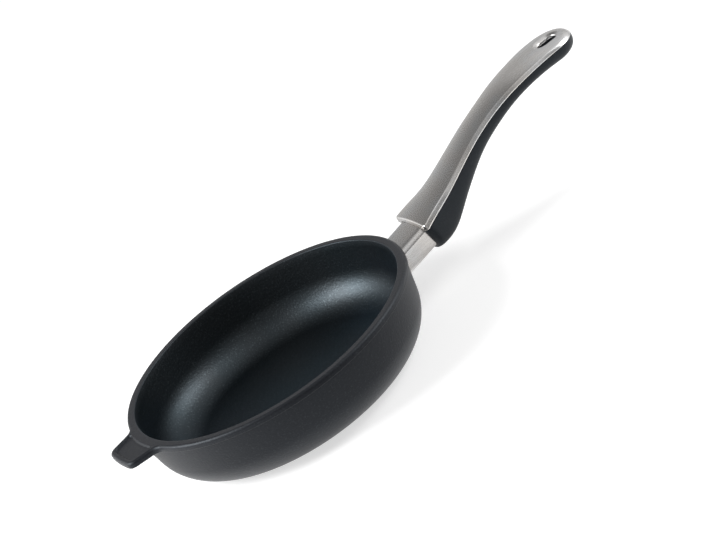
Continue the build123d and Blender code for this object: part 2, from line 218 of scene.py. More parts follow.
class NeckShape(bpy.types.PropertyGroup):
    """Sizes of the neck between pan and handle."""

    tilt: angle("Tilt", "Climb of the neck away from the pan", 9.5)
    drop: length("Drop", "Depth of the neck's axis below the rim", 15.5)
    width: length("Width", "Width of the neck", 30.2)
    height: length("Height", "Height of the neck", 16.6)
    crown: length("Crown", "Rise of the neck's top in the middle", 0.6)
    top_round: length("Top edges", "Rounding of the neck's top edges", 4.2)
    bottom_round: length("Bottom edges", "Rounding of the neck's bottom edges", 3.0)
    wall: length("Wall", "Thickness of the neck's sheet", 1.2)
    wall_gap: length("Wall gap", "Gap between the neck and the pan's wall", 0.1)
    socket_depth: length("Socket depth", "How far the neck goes into the grip", 5.0)
    lug_gap: length("Lug gap", "Gap between the lug and the neck round it", 0.3)
    lug_end_gap: length("Lug end gap", "How far the lug stops short of the socket", 2.0)
    lug_root: length("Lug root", "How far inside the wall the lug starts", 2.0)
    lug_edge: length("Lug edge", "Bevel of the lug's end", 0.5)
    insert_diameter: length("Insert diameter", "Bore in the lug for its insert", 9.1)
    insert_length: length("Insert length", "Depth of that bore", 14.0)
    pilot_diameter: length("Pilot diameter", "Narrower bore behind the insert", 6.1)
    pilot_length: length("Pilot length", "Depth of the narrower bore", 3.8)


class HandleShape(bpy.types.PropertyGroup):
    """Sizes of the grip and of the steel cover on it."""

    lip_reach: length("Lip reach", "Distance of the cover's lip from the rim", 17.6)
    lip_drop: length("Lip drop", "Depth of the lip's crease below the rim", 2.6)
    run: length("Run", "Length from the lip to the round end's centre", 138.0)
    rise: length("Rise", "Climb of the cover from the lip to the end", 35.5)
    front_half: length("Front half width", "Half width of the cover at the lip", 20.3)
    waist_half: length("Waist half width", "Half width of the cover at its waist", 11.9)
    end_half: length("End half width", "Half width of the cover at its end", 16.6)
    front_crown: length("Front crown", "Rise of the cover's middle at the lip", 1.6)
    end_crown: length("End crown", "Rise of the cover's middle at the end", 1.0)
    front_flank: length("Front flank", "Height of the cover's flank at the lip", 3.4)
    end_flank: length("End flank", "Height of the cover's flank at the end", 2.4)
    flank_angle: angle("Flank angle", "How far the flanks lean outwards", 27.0)
    crease_round: length("Crease round", "Rounding of the edge between top and flank", 1.1)
    end_round: length("End round", "Rounding of that edge round the end", 4.1)
    corner_round: length("Corner round", "Rounding of the front corners in plan", 2.0)
    sheet: length("Sheet", "Thickness of the cover", 1.0)
    seat_gap: length("Seat gap", "Gap between cover and grip", 0.1)
    lip_gap: length("Lip gap", "Gap between the lip and the neck", 0.2)
    depth: length("Depth", "Greatest depth of the grip below the crease", 27.0)
    side: length("Side", "Height of the grip's upright side", 1.8)
    ledge_round: length("Ledge round", "Rounding of the grip's edge at the cover", 0.5)
    chin_round: length("Chin round", "Rounding of the chin's corners in plan", 5.0)
    chin_edge: length("Chin edge", "Rounding of the chin's front edge", 1.2)
    chin_fade: length("Chin fade", "Length over which the chin's lean fades out", 28.0)
    hole_setback: length("Hole setback", "How far the hole lies past the end's centre", 2.2)
    hole_length: length("Hole length", "Length of the hanging hole", 14.0)
    hole_width: length("Hole width", "Width of the hanging hole", 9.0)
    dish_width: length("Dish width", "Width of the dish round the hole", 13.6)
    dish_depth: length("Dish depth", "Depth of the dish", 1.6)
    dish_round: length("Dish round", "Rounding of the dish's outer edge", 2.4)
    dish_margin: length("Dish margin", "Width of the ring outside the dish", 1.7)
    collar_depth: length("Collar depth", "Depth of the collar that lines the hole", 2.9)
    collar_round: length("Collar round", "Rounding between dish and collar", 1.5)
    hole_gap: length("Hole gap", "Gap between the cover's collar and the grip", 0.3)
    hole_overrun: length("Hole overrun", "How far the hole's cut stands out over the grip", 5.0)
    weld_gap: length("Weld gap", "Gap between the cover and a stud's pad", 0.15)
    socket_gap: length("Socket gap", "Gap between the neck and its socket", 0.15)
    socket_reach: length("Socket reach", "Length of the shape that cuts the socket", 18.0)


class Finishes(bpy.types.PropertyGroup):
    """Colours of the pan's materials."""

    coating: colour("Coating inside", "Non-stick coating inside the bowl", (0.036, 0.046, 0.052))
    coating_warm: colour("Coating inside, warm", "Warmer drift in it", (0.04, 0.045, 0.049))
    coating_flecks: colour("Coating inside, flecks", "Bright flecks in it", (0.11, 0.13, 0.14))
    coating_gloss: colour("Coating gloss", "Tint of the coating's gloss", (0.56, 0.63, 0.7))
    lacquer: colour("Coating outside", "Coating of the outside and the rim", (0.0055, 0.0055, 0.0075))
    lacquer_flecks: colour("Coating outside, flecks", "Flecks in it", (0.035, 0.038, 0.042))
    steel: colour("Steel", "Satin steel of the cover and the neck", (0.62, 0.6, 0.58))
    steel_cool: colour("Steel, cool", "Cooler tint that drifts over the steel", (0.58, 0.6, 0.625))
    steel_dark: colour("Steel, dark", "Darker grain lines in the steel", (0.5, 0.48, 0.46))
    grip: colour("Grip", "Moulded grip", (0.0055, 0.0072, 0.0095))
    grip_pale: colour("Grip, pale", "Paler grain in the grip", (0.018, 0.021, 0.024))
    grip_gloss: colour("Grip gloss", "Tint of the grip's gloss", (0.85, 0.92, 1.0))
    fastener: colour("Fasteners", "Screws, nuts and washers", (0.5, 0.5, 0.5))
    fastener_soil: colour("Fasteners, soiled", "Darker patches on them", (0.3, 0.29, 0.28))


class Studio(bpy.types.PropertyGroup):
    """Light and ground for the pan's picture."""

    floor_radius: length("Floor radius", "Radius of the floor", 6000.0)
    floor_drop: length("Floor drop", "How far the floor falls to its edge", 0.2)
    floor_colour: colour("Floor", "Pale floor", (0.6, 0.6, 0.6))
    floor_pale: colour("Floor, pale", "Paler clouds on the floor", (0.64, 0.64, 0.64))
    side_reach: length("Side reach", "Width of floor over which its side glow changes", 500.0)
    foot_reach: length("Foot reach", "Radius over which the glow round the foot changes", 200.0)
    seen_reach: length("Seen reach", "Radius over which the camera's glow changes", 4000.0)
    fill: FloatProperty(
        name="Fill", description="Light from all round", default=0.2, min=0.0, max=1.0, subtype="FACTOR"
    )


def stepped(first, last, count):
    """Even steps to the last number, without the first."""
    return np.linspace(first, last, count + 1)[1:]


def between(first, last, part):
    """What lies at a part of the way from the first to the last."""
    return first * (1 - part) + last * part


def unit(vectors):
    """Vectors stretched or cut to length one."""
    return vectors / np.linalg.norm(vectors, axis=-1, keepdims=True)


def left_of(ways):
    """Plan ways turned a quarter to the left."""
    return np.stack([-ways[..., 1], ways[..., 0]], axis=-1)


def rays(turn):
    """Points of the unit circle at the given angles: cosine and sine."""
    return np.stack([np.cos(turn), np.sin(turn)], axis=-1)


def heading(vector):
    """Angle of a plan vector."""
    return math.atan2(vector[1], vector[0])


def smooth_step(low, high, value):
    """Nought below low, one above high, and an S-shaped climb between them."""
    place = np.clip((value - low) / (high - low), 0.0, 1.0)
    return place * place * (3.0 - 2.0 * place)


def rounded_path(corners, closed=False):
    """Line through the corners, each with its place, the radius of its rounding and that arc's steps. The
    arc's centre lies on the bisector, at the radius divided by the sine of half the angle."""
    places = np.array(corners, float)[:, :2]
    path = []
    for number, (_, _, radius, steps) in enumerate(corners):
        corner = places[number]
        if radius <= 0.0:
            path.append(corner[None])
            continue
        before = unit(places[number - 1] - corner)
        after = unit(places[(number + 1) % len(places)] - corner)
        half = math.acos(float(np.clip(before @ after, -1.0, 1.0))) / 2
        centre = corner + unit(before + after) * radius / math.sin(half)
        start = corner + before * radius / math.tan(half) - centre
        end = corner + after * radius / math.tan(half) - centre
        sweep = math.atan2(start[0] * end[1] - start[1] * end[0], start @ end)
        path.append(centre + radius * rays(heading(start) + np.linspace(0.0, sweep, steps + 1)))
    path = np.concatenate(path)
    return np.concatenate([path, path[:1]]) if closed else path


def refined(path, longest):
    """The path with its sides divided into even steps, none longer than the given length."""
    parts = [path[:1]]
    for start, end in zip(path[:-1], path[1:]):
        count = max(math.ceil(np.linalg.norm(end - start) / longest), 1)
        parts.append(between(start, end, stepped(0.0, 1.0, count)[:, None]))
    return np.concatenate(parts)


def spline(places, values):
    """Smooth curve of cubic pieces with equal slopes and bends where they meet, and none at its ends."""
    values = np.array(values)
    gaps = np.diff(places)
    system = np.eye(len(places))
    target = np.zeros(len(places))
    inner = np.arange(1, len(places) - 1)
    system[inner, inner - 1] = gaps[:-1]
    system[inner, inner] = 2 * (gaps[:-1] + gaps[1:])
    system[inner, inner + 1] = gaps[1:]
    target[inner] = 6 * np.diff(np.diff(values) / gaps)
    bends = np.linalg.solve(system, target)

    def curve(x):
        x = np.clip(x, places[0], places[-1])
        cell = np.clip(np.searchsorted(places, x) - 1, 0, len(gaps) - 1)
        step = gaps[cell]
        left = (places[cell + 1] - x) / step
        right = 1.0 - left
        bow = (left**3 - left) * bends[cell] + (right**3 - right) * bends[cell + 1]
        return left * values[cell] + right * values[cell + 1] + bow * step**2 / 6

    return curve


def flat_ring(points, height):
    """Plan points lifted to a height, or each to its own."""
    return np.concatenate([points, np.broadcast_to(height, points.shape[:-1])[..., None]], axis=-1)


def make_piece(name, grids, sharp=SOLID_EDGE, closed=True):
    """A mesh piece from grids of points: neighbours on a grid make a face, and coinciding points merge."""
    points = []
    faces = []
    offset = 0
    for grid in grids:
        rows, columns = grid.shape[:2]
        index = offset + np.arange(rows * columns).reshape(rows, columns)
        corners = (index[:-1, :-1], index[1:, :-1], index[1:, 1:], index[:-1, 1:])
        faces.append(np.stack(corners, axis=-1).reshape(-1, 4))
        points.append(grid.reshape(-1, 3))
        offset += rows * columns
    mesh = bpy.data.meshes.new(name)
    mesh.from_pydata(np.concatenate(points), [], np.concatenate(faces))
    tidy_mesh(mesh, closed)
    smooth_mesh(mesh, sharp)
    piece = bpy.data.objects.new(name, mesh)
    bpy.context.scene.collection.objects.link(piece)
    return piece


def tidy_mesh(mesh, closed):
    """Merges points, drops faces without area and turns the faces of a closed shape outwards."""
    work = bmesh.new()
    work.from_mesh(mesh)
    bmesh.ops.remove_doubles(work, verts=work.verts, dist=MERGE_DISTANCE)
    bmesh.ops.dissolve_degenerate(work, edges=work.edges, dist=THIN_DISTANCE)
    if closed:
        bmesh.ops.recalc_face_normals(work, faces=work.faces)
    work.to_mesh(mesh)
    work.free()


def smooth_mesh(mesh, sharp):
    """Smooth shading, broken at edges sharper than an angle in degrees."""
    mesh.shade_smooth()
    mesh.set_sharp_from_angle(angle=math.radians(sharp))


def with_mirror(half):
    """Half an outline in plan and the same points on the other side, past its last one."""
    return np.concatenate([half, half[-2::-1] * np.array([1.0, -1.0])])


def mirrored(grid):
    """The grid on the other side of the middle plane, with its faces still facing outwards."""
    return grid[:, ::-1] * np.array([1.0, -1.0, 1.0])


def tab_lines(pan):
    """The tab's lines: centre and radius of its bowed end, a point on its side, the way along that side and
    the way out from it. The bow's radius follows from its width and height."""
    tip = pan.rim_radius + pan.tab_reach
    bow = (pan.tab_tip**2 + pan.tab_bow**2) / (2 * pan.tab_bow)
    shoulder = np.array([pan.tab_bow - tip, pan.tab_tip])
    along = unit(np.array([pan.tab_inset - pan.rim_radius, pan.tab_root]) - shoulder)
    return np.array([bow - tip, 0.0]), bow, shoulder, along, left_of(along)


def touching_centre(start, direction, centre, distance):
    """First point along a line that lies at a distance from a centre."""
    offset = start - centre
    along = offset @ direction
    return start + direction * (-along - math.sqrt(along * along - offset @ offset + distance * distance))


def rim_outline(pan):
    """Plan of the rim with its tab and the ways outwards: a bowed end, round corners, straight sides,
    fillets and the rim circle, each touching the next, and the same again mirrored."""
    bow_centre, bow, shoulder, along, out = tab_lines(pan)
    corner = touching_centre(shoulder - out * pan.tab_corner, along, bow_centre, bow - pan.tab_corner)
    fillet_start = shoulder + out * pan.tab_fillet
    fillet = touching_centre(fillet_start, along, np.zeros(2), pan.rim_radius + pan.tab_fillet)
    turning = heading(corner - bow_centre)
    arcs = (
        (bow_centre, bow, math.pi, turning, 1.0, TAB_END_POINTS),
        (corner, pan.tab_corner, turning, heading(out), 1.0, TAB_CORNER_POINTS),
        (fillet, pan.tab_fillet, heading(-out), heading(-fillet), -1.0, TAB_FILLET_POINTS),
        (np.zeros(2), pan.rim_radius, heading(fillet), 0.0, 1.0, RIM_POINTS),
    )
    points = []
    outwards = []
    for centre, radius, first, last, side, count in arcs:
        ray = rays(np.linspace(first, last, count))
        points.append(centre + ray * radius)
        outwards.append(ray * side)
        if centre is corner:
            part = np.linspace(0.0, 1.0, TAB_SIDE_POINTS)[:, None]
            points.append(between(corner + out * pan.tab_corner, fillet - out * pan.tab_fillet, part))
            outwards.append(np.broadcast_to(out, (TAB_SIDE_POINTS, 2)))
    return with_mirror(np.concatenate(points)), with_mirror(np.concatenate(outwards))


def tab_recess(pan, points):
    """Depth of the recess at plan points: the distance inside the tab's border and outside the rim circle,
    with rounded corners, taken down a smooth slope."""
    bow_centre, bow, shoulder, _, out = tab_lines(pan)
    x = points[..., 0]
    y = np.abs(points[..., 1])
    past_side = (x - shoulder[0]) * out[0] + (y - shoulder[1]) * out[1] + pan.tab_border
    past_end = np.hypot(x - bow_centre[0], y) - bow + pan.tab_border
    past_rim = pan.rim_radius - np.hypot(x, y)
    past = np.stack([past_side, past_end, past_rim], axis=-1) + pan.recess_corner
    inside = np.minimum(past.max(axis=-1), 0.0)
    distance = inside + np.linalg.norm(np.maximum(past, 0.0), axis=-1) - pan.recess_corner
    return pan.recess_depth * smooth_step(0.0, pan.recess_slope, -distance)


def outer_wall(pan):
    """Outside of the bowl as radius and height, from the rim band to the middle of the base."""
    top = pan.height - pan.band_height
    wall_radius = pan.rim_radius - pan.band_step
    foot_radius = wall_radius - top * math.tan(pan.outer_draft)
    foot = (foot_radius, 0.0, pan.foot_round, FOOT_STEPS)
    return refined(rounded_path([(wall_radius, top, 0.0, 0), foot, (0.0, 0.0, 0.0, 0)]), BOWL_STEP)


def inner_wall(pan):
    """Inside of the bowl as radius and height, from the middle of the floor to the flat rim."""
    mouth = pan.rim_radius - pan.rim_width
    floor_radius = mouth - (pan.height - pan.floor) * math.tan(pan.inner_draft)
    corners = [
        (0.0, pan.floor, 0.0, 0),
        (floor_radius, pan.floor, pan.corner_round, INNER_STEPS),
        (mouth, pan.height, pan.inner_round, MOUTH_STEPS),
        (mouth + pan.inner_round * MOUTH_SHARE, pan.height, 0.0, 0),
    ]
    return refined(rounded_path(corners), BOWL_STEP)


def bowl_grid(pan):
    """The casting as one closed grid. Its columns go round the rim's outline. Its rows go from the middle
    of the floor up the inside, over rim, tab and band and down the outside to the middle of the base."""
    outline, outwards = rim_outline(pan)
    ray = unit(outline)
    inside = inner_wall(pan)
    outside = outer_wall(pan)
    rows = [flat_ring(ray * radius, height) for radius, height in inside]
    for part in stepped(0.0, 1.0, PLATE_STEPS)[:-1]:
        points = between(ray * inside[-1, 0], outline - outwards * pan.outer_round, part)
        rows.append(flat_ring(points, pan.height - tab_recess(pan, points)))
    under = pan.height - pan.band_height
    band = rounded_path([
        (-pan.rim_radius, pan.height, 0.0, 0),
        (0.0, pan.height, pan.outer_round, RIM_STEPS),
        (0.0, under, pan.lower_round, BAND_STEPS),
        (-pan.rim_radius, under, 0.0, 0),
    ])[1:-1]
    rows += [flat_ring(outline + outwards * reach, height) for reach, height in band]
    under_ring = (outline + outwards * band[-1, 0] + ray * outside[0, 0]) / 2
    rows += [flat_ring(under_ring, outside[0, 1])]
    rows += [flat_ring(ray * radius, height) for radius, height in outside]
    return np.stack(rows)


def neck_axes(pan, neck):
    """Start of the neck's axis on the rim circle, and the ways sideways, up and out along it."""
    start = np.array([pan.rim_radius, 0.0, pan.height - neck.drop])
    side = np.array([0.0, 1.0, 0.0])
    up = np.array([-math.sin(neck.tilt), 0.0, math.cos(neck.tilt)])
    out = np.array([math.cos(neck.tilt), 0.0, math.sin(neck.tilt)])
    return start, side, up, out


def neck_loop(neck, grow):
    """Section of the neck, grown by an amount: a rectangle with round corners, whose crowned top falls with
    the square of the distance from its middle."""
    half_width = neck.width / 2 + grow
    top = neck.height / 2 + grow - neck.crown
    bottom = -neck.height / 2 - grow
    lower = (neck.bottom_round + grow, LOWER_STEPS)
    upper = (neck.top_round + grow, UPPER_STEPS)
    corners = [
        (-half_width, bottom, *lower),
        (half_width, bottom, *lower),
        (half_width, top, *upper),
        (-half_width, top, *upper),
    ]
    path = refined(rounded_path(corners, closed=True), NECK_STEP)
    path[:, 1] += neck.crown * (1.0 - (path[:, 0] / half_width) ** 2) * smooth_step(0.0, top, path[:, 1])
    return path


def drawn_in(loop, amount):
    """A closed section moved inwards, each point square to the line through its neighbours."""
    ring = np.concatenate([loop[-2:-1], loop, loop[1:2]])
    return loop + left_of(unit(ring[2:] - ring[:-2])) * amount


def carried(loop, axes, distance):
    """A section carried along an axis by a distance, or by one for each of its points."""
    start, side, up, out = axes
    distance = np.broadcast_to(distance, loop.shape[:-1])[..., None]
    return start + side * loop[..., :1] + up * loop[..., 1:] + out * distance


def reach_of_wall(loop, axes, pan, depth):
    """How far along the axis a section's points meet the bowl's wall, at a depth inside it: they slide in
    repeated steps until their distance from the bowl's middle is the wall's radius at their height."""
    wall = outer_wall(pan)[::-1]
    distance = np.zeros(len(loop))
    for _ in range(WALL_ROUNDS):
        points = carried(loop, axes, distance)
        radius = np.hypot(points[:, 0], points[:, 1])
        distance = distance + np.interp(points[:, 2], wall[:, 1], wall[:, 0]) - depth - radius
    return distance


def socket_end(neck, handle):
    """Distance along the neck from the rim circle to the end of the grip's socket."""
    climb = (neck.drop - handle.lip_drop) * math.tan(neck.tilt)
    return (handle.lip_reach + climb) * math.cos(neck.tilt) + neck.socket_depth


def neck_grid(pan, neck, handle):
    """The neck as one closed tube: out from the wall into the grip's socket, and back inside."""
    axes = neck_axes(pan, neck)
    outer = neck_loop(neck, 0.0)
    inner = drawn_in(outer, neck.wall)
    end = socket_end(neck, handle) - neck.wall_gap
    near_outer = carried(outer, axes, reach_of_wall(outer, axes, pan, -neck.wall_gap))
    near_inner = carried(inner, axes, reach_of_wall(inner, axes, pan, -neck.wall_gap))
    far = [carried(loop, axes, end) for loop in (outer, inner)]
    return np.stack([near_outer, *far, near_inner, near_outer])


def lug_grid(pan, neck, handle):
    """The lug as one closed grid: from inside the wall along its sides, over its end face and down the
    steps of its bore."""
    axes = neck_axes(pan, neck)
    loop = neck_loop(neck, -neck.wall - neck.lug_gap)
    ray = unit(loop)
    root = reach_of_wall(loop, axes, pan, neck.lug_root)
    bore = ray * neck.insert_diameter / 2
    pilot = ray * neck.pilot_diameter / 2
    end = socket_end(neck, handle) - neck.lug_end_gap
    step = end - neck.insert_length
    bottom = step - neck.pilot_length
    sections = (
        (loop * 0.0, root.mean()),
        (loop, root),
        (loop, end - neck.lug_edge),
        (loop - ray * neck.lug_edge, end),
        (bore, end),
        (bore, step),
        (pilot, step),
        (pilot, bottom),
        (pilot * 0.0, bottom),
    )
    return np.stack([carried(section, axes, distance) for section, distance in sections])


class HandleLines:
    """The lines that shape the handle, each a smooth curve along X through the stations."""

    def __init__(self, pan, handle):
        self.lip = pan.rim_radius + handle.lip_reach
        self.end = self.lip + handle.run
        self.lip_height = pan.height - handle.lip_drop
        along = np.array(RUN_SHARES)
        places = self.lip + handle.run * along
        half = handle.waist_half + (handle.front_half - handle.waist_half) * np.array(FRONT_FLARE_SHARES)
        half = half + (handle.end_half - handle.waist_half) * np.array(END_FLARE_SHARES)
        self.places = places
        self.crease = spline(places, self.lip_height + handle.rise * np.array(RISE_SHARES))
        self.half = spline(places, half)
        self.depth = spline(places, handle.depth * np.array(DEPTH_SHARES))
        self.pull = spline(places, BELLY_SHARES)
        self.crown = spline(places, between(handle.front_crown, handle.end_crown, along))
        self.flank = spline(places, between(handle.front_flank, handle.end_flank, along))
        self.top = float(self.crease(self.end) + self.crown(self.end))

    def surface(self, points):
        """Height of the cover's top: the crease's height and a crown that falls with the square of the
        distance from the middle line, or past the end's centre from that centre."""
        x = points[..., 0]
        away = np.hypot(np.maximum(x - self.end, 0.0), points[..., 1])
        return self.crease(x) + self.crown(x) * (1.0 - (away / self.half(x)) ** 2)


def slot_ring(lines, handle, part, radius):
    """Outline of a slot round the hole, from its front tip at nought to its rear tip at one: quarter
    circle, straight side and quarter circle by length."""
    straight = handle.hole_length - handle.hole_width
    quarter = radius * math.pi / 2
    place = part * (2 * quarter + straight)
    front = np.clip(place, 0.0, quarter)
    middle = np.clip(place - quarter, 0.0, straight)
    rear = np.clip(place - quarter - straight, 0.0, quarter)
    points = radius * rays(math.pi - (front + rear) / radius)
    points[:, 0] += lines.end + handle.hole_setback - straight / 2 + middle
    return points


class CoverPlan:
    """Plan of half the cover. Its outline goes from the middle of the lip round the front corner, along the
    side and round the end, and faces an inner line: the middle line and then the ring round the hole."""

    def __init__(self, lines, handle):
        self.ring_radius = handle.dish_width / 2 + handle.dish_margin
        ring_front = slot_ring(lines, handle, np.zeros(1), self.ring_radius)[0, 0]
        corner = np.linspace(0.0, math.pi / 2, CORNER_STEPS + 1)
        corner_x = lines.lip + handle.corner_round * (1.0 - np.cos(corner))
        corner_y = lines.half(corner_x) - handle.corner_round * (1.0 - np.sin(corner))
        lip_y = np.linspace(0.0, corner_y[0], LIP_STEPS + 1)[:-1]
        side_x = stepped(corner_x[-1], ring_front, SIDE_STEPS)
        hole_side_x = stepped(ring_front, lines.end, HOLE_SIDE_STEPS)
        end_half = lines.half(lines.end)
        outline = np.concatenate([
            np.stack([np.full(LIP_STEPS, lines.lip), lip_y], axis=-1),
            np.stack([corner_x, corner_y], axis=-1),
            np.stack([side_x, lines.half(side_x)], axis=-1),
            np.stack([hole_side_x, lines.half(hole_side_x)], axis=-1),
            np.array([lines.end, 0.0]) + end_half * rays(stepped(math.pi / 2, 0.0, END_STEPS)),
        ])
        self.outline = outline
        self.outwards = left_of(unit(np.gradient(outline, axis=0)))
        self.outwards[0] = (-1.0, 0.0)
        self.outwards[-1] = (1.0, 0.0)
        self.fore = LIP_STEPS + len(corner)
        rest = self.fore + SIDE_STEPS - 1
        travel = np.cumsum(np.linalg.norm(np.diff(outline[rest:], axis=0), axis=1))
        self.part = np.concatenate([[0.0], travel / travel[-1]])
        self.inner = np.zeros_like(outline)
        self.inner[: self.fore, 0] = corner_x[-1]
        self.inner[self.fore : rest, 0] = side_x[:-1]
        self.inner[rest:] = slot_ring(lines, handle, self.part, self.ring_radius)
        self.lean = np.full(len(outline), handle.flank_angle)
        self.lean[:LIP_STEPS] = 0.0
        self.lean[LIP_STEPS : self.fore] *= smooth_step(LEAN_START, LEAN_FULL, corner)
        soft = smooth_step(ring_front, lines.end + end_half / 2, outline[:, 0])
        self.edge = between(handle.crease_round, handle.end_round, soft)


def over_neck(pan, neck, handle, points):
    """Height of the lip's lower edge: a gap above the neck's rounded top, or nought beside it."""
    start, _, up, out = neck_axes(pan, neck)
    along = (points[:, 0] - start[0]) / out[0]
    aside = np.abs(points[:, 1])
    past_round = np.clip(aside - neck.width / 2 + neck.top_round, 0.0, None)
    drop = neck.top_round - np.sqrt(np.clip(neck.top_round**2 - past_round**2, 0.0, None))
    height = start[2] + along * out[2] + (neck.height / 2 - drop) / up[2] + handle.lip_gap
    return np.where(aside < neck.width / 2, height, 0.0)


def cover_top(pan, neck, handle, lines, plan):
    """Half the cover as a grid, from the middle line or the ring out to the crease, round an arc that
    touches the top and the leaning flank, and down the flank or the lip."""
    outline = plan.outline
    turn = math.pi / 2 - plan.lean
    tangent = plan.edge * np.tan(turn / 2)
    rows = []
    for part in np.linspace(0.0, 1.0, TOP_STEPS + 1):
        points = between(plan.inner, outline - plan.outwards * tangent[:, None], part)
        rows.append(flat_ring(points, lines.surface(points)))
    for part in stepped(0.0, 1.0, CREASE_STEPS):
        step = turn * part
        points = outline + plan.outwards * (plan.edge * np.sin(step) - tangent)[:, None]
        rows.append(flat_ring(points, lines.surface(points) - plan.edge * (1.0 - np.cos(step))))
    crease = lines.crease(outline[:, 0])
    foot = crease - lines.flank(outline[:, 0])
    lip = slice(0, plan.fore)
    foot[lip] = np.maximum(foot[lip], over_neck(pan, neck, handle, outline[lip]))
    foot_points = outline + plan.outwards * ((crease - foot) * np.tan(plan.lean))[:, None]
    last = rows[-1]
    rows += [between(last, flat_ring(foot_points, foot), part) for part in FLANK_SHARES]
    return np.stack(rows)[:, ::-1]


def cover_dish(handle, lines, plan):
    """Half the dish as a grid, from the ring over its rounded edge and down the collar. On the way the
    curved top turns level."""
    profile = rounded_path([
        (plan.ring_radius, 0.0, 0.0, 0),
        (handle.dish_width / 2, 0.0, handle.dish_round, DISH_STEPS),
        (handle.hole_width / 2, -handle.dish_depth, handle.collar_round, COLLAR_STEPS),
        (handle.hole_width / 2, -handle.collar_depth, 0.0, 0),
    ])
    rows = []
    for radius, drop in profile:
        points = slot_ring(lines, handle, plan.part, radius)
        flatness = smooth_step(handle.dish_width / 2, handle.hole_width / 2, radius)
        rows.append(flat_ring(points, between(lines.surface(points), lines.top, flatness) + drop))
    return np.stack(rows)


def cover_grids(pan, neck, handle):
    """Outside of the cover: its top and its dish, each with its mirror image."""
    lines = HandleLines(pan, handle)
    plan = CoverPlan(lines, handle)
    top = cover_top(pan, neck, handle, lines, plan)
    dish = cover_dish(handle, lines, plan)
    return [top, mirrored(top), dish, mirrored(dish)]


def half_section(lines, handle, x):
    """Half of the grip's section at each x, from the middle of its top to the middle of its belly: the
    core, the ledge at the cover's foot, and a belly that is a cubic curve with two pulling points."""
    slope = handle.flank_angle
    inset = handle.sheet + handle.seat_gap
    crease = lines.crease(x)
    half = lines.half(x)
    flank = lines.flank(x)
    pull = lines.pull(x)
    ledge = crease - flank - handle.seat_gap
    core_half = half - inset * (1.0 - math.sin(slope)) / math.cos(slope)
    core_foot = half + (flank + handle.seat_gap) * math.tan(slope) - inset / math.cos(slope)
    belly_half = half + flank * math.tan(slope)
    edge = handle.ledge_round
    side = ledge - handle.side
    bottom = crease - lines.depth(x)
    knee = between(side, bottom, pull)
    top_count, core_count, round_count, belly_count = SECTION_POINTS
    y = np.empty_like(x)
    z = np.empty_like(x)
    at = slice(0, top_count)
    part = np.linspace(0.0, 1.0, top_count)
    y[:, at] = core_half[:, at] * part
    z[:, at] = crease[:, at] - inset + lines.crown(x[:, at]) * (1.0 - part**2)
    at = slice(at.stop, at.stop + core_count)
    part = stepped(0.0, 1.0, core_count)
    y[:, at] = between(core_half[:, at], core_foot[:, at], part)
    z[:, at] = between(crease[:, at] - inset, ledge[:, at], part)
    at = slice(at.stop, at.stop + round_count)
    turn = np.linspace(0.0, math.pi / 2, round_count)
    y[:, at] = belly_half[:, at] - edge + edge * np.sin(turn)
    z[:, at] = ledge[:, at] - edge + edge * np.cos(turn)
    at = slice(at.stop, at.stop + belly_count)
    part = np.linspace(0.0, 1.0, belly_count)
    rest = 1 - part
    y[:, at] = belly_half[:, at] * (rest**3 + 3 * rest**2 * part + 3 * rest * part**2 * pull[:, at])
    z[:, at] = side[:, at] * rest**3 + 3 * rest**2 * part * knee[:, at]
    z[:, at] += bottom[:, at] * (3 * rest * part**2 + part**3)
    return y, z


def grip_grids(pan, neck, handle):
    """The grip without its holes: half sections along the handle, turned round the end's centre, their
    mirror image, and a front face that leans square to the neck."""
    lines = HandleLines(pan, handle)
    chin = handle.chin_round
    turn = np.radians(CHIN_TURNS)
    offset = np.concatenate([chin * (1.0 - np.cos(turn)), stepped(chin, handle.run, GRIP_STEPS)])
    narrow = np.concatenate([chin * (1.0 - np.sin(turn)), np.zeros(GRIP_STEPS)])[:, None]
    fade = 1.0 - smooth_step(chin, handle.chin_fade, offset)[:, None]
    core_points = SECTION_POINTS[0] + SECTION_POINTS[1]
    core = np.arange(sum(SECTION_POINTS)) < core_points
    row_x = lines.lip + offset[:, None] + np.where(core, handle.sheet + handle.seat_gap, 0.0) * fade
    x = row_x.copy()
    for _ in range(LEAN_ROUNDS):
        y, z = half_section(lines, handle, x)
        lean = np.where(core, 0.0, (lines.lip_height - z) * math.tan(neck.tilt))
        x = row_x + lean * fade
    y *= 1.0 - narrow / lines.half(x)
    short = np.clip(1.0 - offset / handle.chin_edge, 0.0, 1.0)[:, None]
    raised = handle.chin_edge * (1.0 - np.sqrt(1.0 - short**2))
    ledge = z[:, core_points][:, None]
    z = np.where(core, z, ledge - (ledge - z) * (1.0 - raised / handle.depth))
    straight = np.stack([x, y, z], axis=-1)
    turn = stepped(math.pi / 2, 0.0, GRIP_END_STEPS)[:, None]
    round_end = np.stack([lines.end + y[-1] * np.cos(turn), y[-1] * np.sin(turn)], axis=-1)
    middle = between(straight[0, 0], straight[0, -1], 0.5)
    face = np.stack([between(straight[0], middle, part) for part in FACE_SHARES])
    half = np.concatenate([face, straight[1:], flat_ring(round_end, z[-1])])
    return [half, mirrored(half)]


def stud_axes(lines, handle, number):
    """Axis of a stud at a station, square to the cover's top line and pointing up through it."""
    places = lines.places[number - 1 : number + 2]
    heights = lines.crease(places)
    slope = math.atan2(heights[2] - heights[0], places[2] - places[0])
    side = np.array([0.0, 1.0, 0.0])
    up = np.array([-math.sin(slope), 0.0, math.cos(slope)])
    top = np.array([places[1], 0.0, heights[1] + lines.crown(places[1])])
    return top - up * (handle.sheet + handle.weld_gap), side, np.cross(side, -up), up


def circle_loop(diameter, count):
    """A closed circle."""
    return rays(np.linspace(0.0, 2 * math.pi, count + 1)) * diameter / 2


